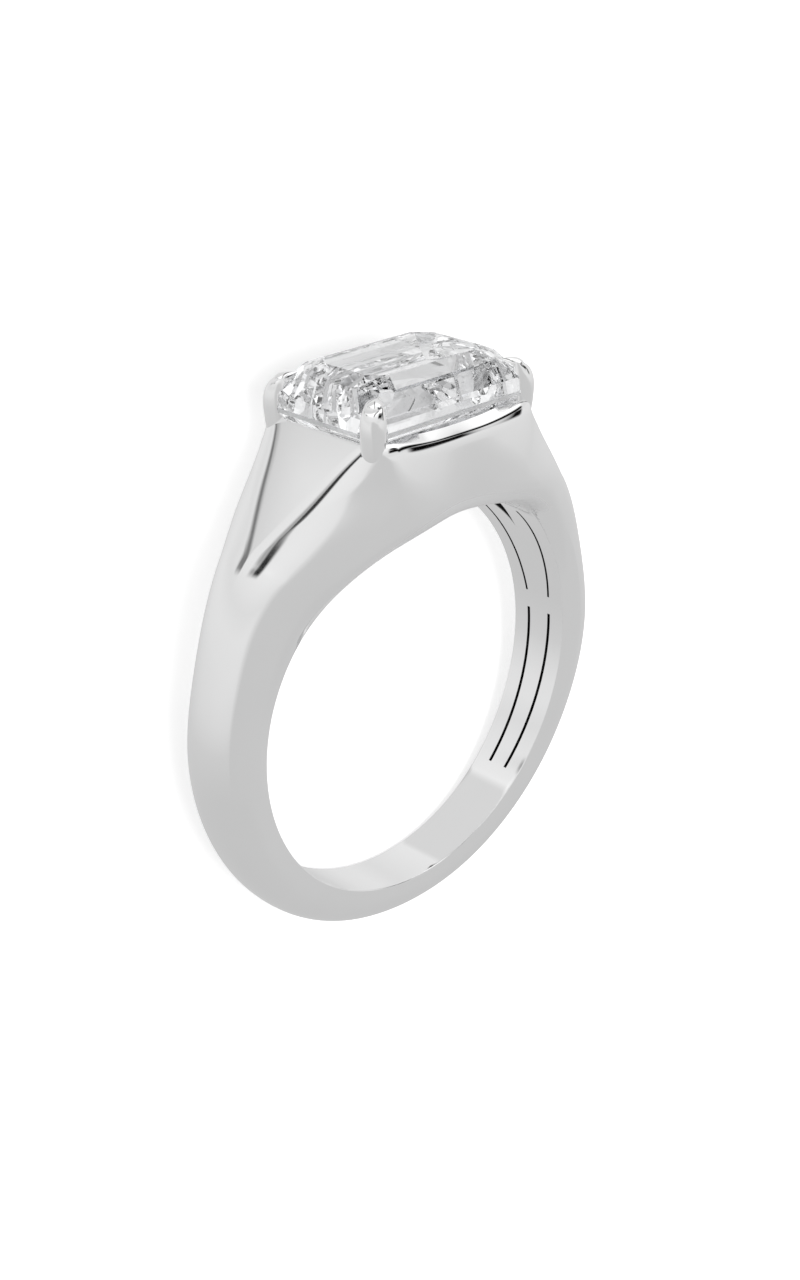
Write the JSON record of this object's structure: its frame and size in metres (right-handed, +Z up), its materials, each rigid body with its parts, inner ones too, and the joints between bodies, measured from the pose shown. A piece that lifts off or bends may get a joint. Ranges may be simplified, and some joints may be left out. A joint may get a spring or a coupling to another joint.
{
  "type": "finger ring",
  "caption": "Polished white metal finger ring with a flared head and an emerald-cut stone set lengthwise across the finger in corner claws.",
  "frame": {"origin": "middle of the ring's outline on the surface it lies on", "axes": "+Z up as the ring lies on its side, +Y towards the stone, X along the stone's length"},
  "size_m": [0.0206, 0.0234, 0.0072],
  "materials": {
    "white_metal": "mirror polished white gold",
    "stone": "clear faceted gemstone"
  },
  "bodies": {
    "root": {"cast_band": "white_metal", "emerald_cut_stone": "stone"}
  },
  "joints": []
}
